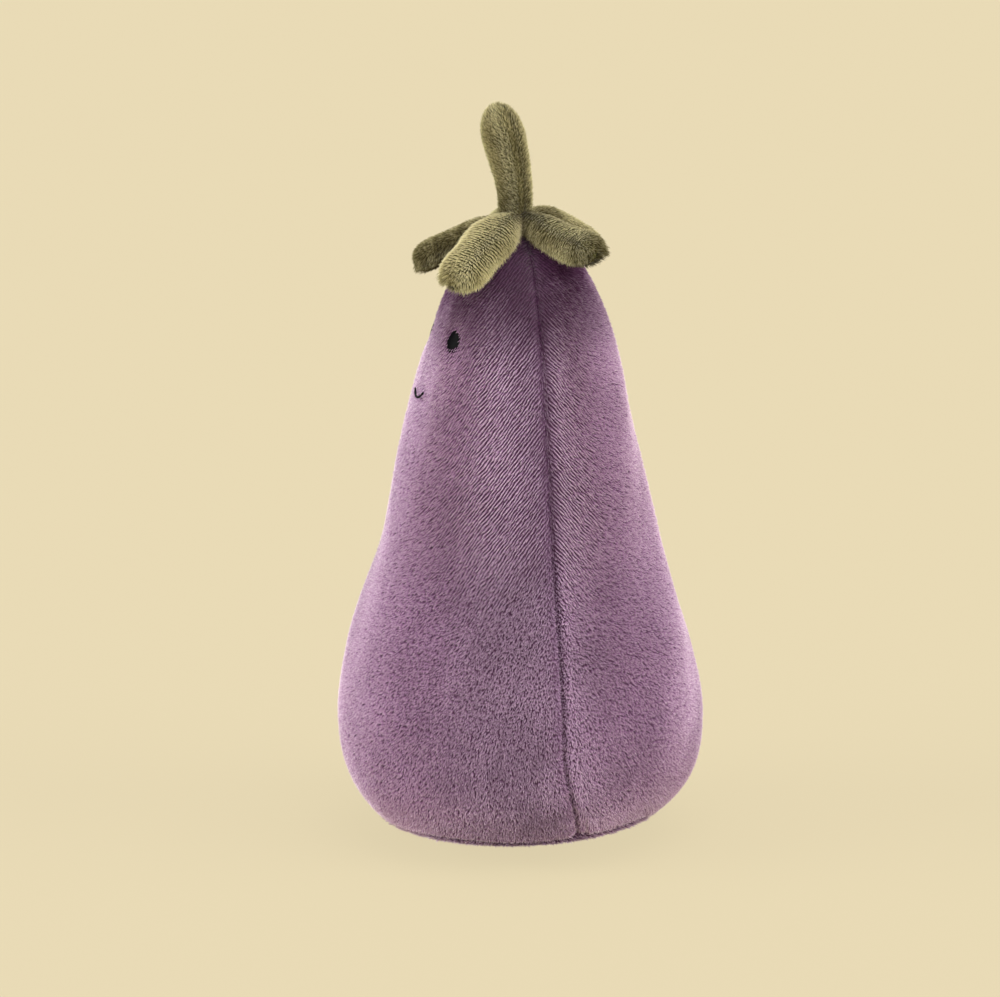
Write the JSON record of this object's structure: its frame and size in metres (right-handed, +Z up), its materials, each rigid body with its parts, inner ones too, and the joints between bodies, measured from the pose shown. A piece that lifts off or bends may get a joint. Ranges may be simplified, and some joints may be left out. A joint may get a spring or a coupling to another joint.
{
  "type": "plush eggplant toy",
  "caption": "Stuffed pear-shaped plush eggplant with bead eyes and a small stitched smile, a leafy green calyx and a fat leaning stem, standing on a weighted round base.",
  "frame": {"origin": "centre of the flat spot under the base, on the floor", "axes": "+Z up along the body, -Y out through the middle of the face, +X towards the toy's own left"},
  "size_m": [0.0854, 0.0856, 0.1706],
  "materials": {
    "purple_plush": "short cut pile with a soft pale sheen",
    "green_plush": "longer shaggy pile, olive",
    "fibre_filling": "loose polyester fibre",
    "pouch_cloth": "plain woven cloth",
    "pellets": "small round pellets",
    "purple_thread": "sewing thread",
    "green_thread": "sewing thread",
    "black_thread": "thick embroidery thread",
    "black_plastic": "polished",
    "clear_plastic": "natural, moulded"
  },
  "bodies": {
    "root": {"back_left_panel": "purple_plush", "back_right_panel": "purple_plush", "back_seam_thread": "purple_thread", "base_panel": "purple_plush", "base_seam_thread": "purple_thread", "body_filling": "fibre_filling", "calyx_seam_thread": "green_thread", "calyx_top": "green_plush", "calyx_underside": "green_plush", "front_panel": "purple_plush", "left_eye": "black_plastic", "left_eye_washer": "clear_plastic", "left_seam_thread": "purple_thread", "pellet_fill": "pellets", "pouch_lower": "pouch_cloth", "pouch_upper": "pouch_cloth", "right_eye": "black_plastic", "right_eye_washer": "clear_plastic", "right_seam_thread": "purple_thread", "smile_thread": "black_thread", "stem_cover": "green_plush", "stem_filling": "fibre_filling", "stem_seam_thread": "green_thread"}
  },
  "joints": []
}
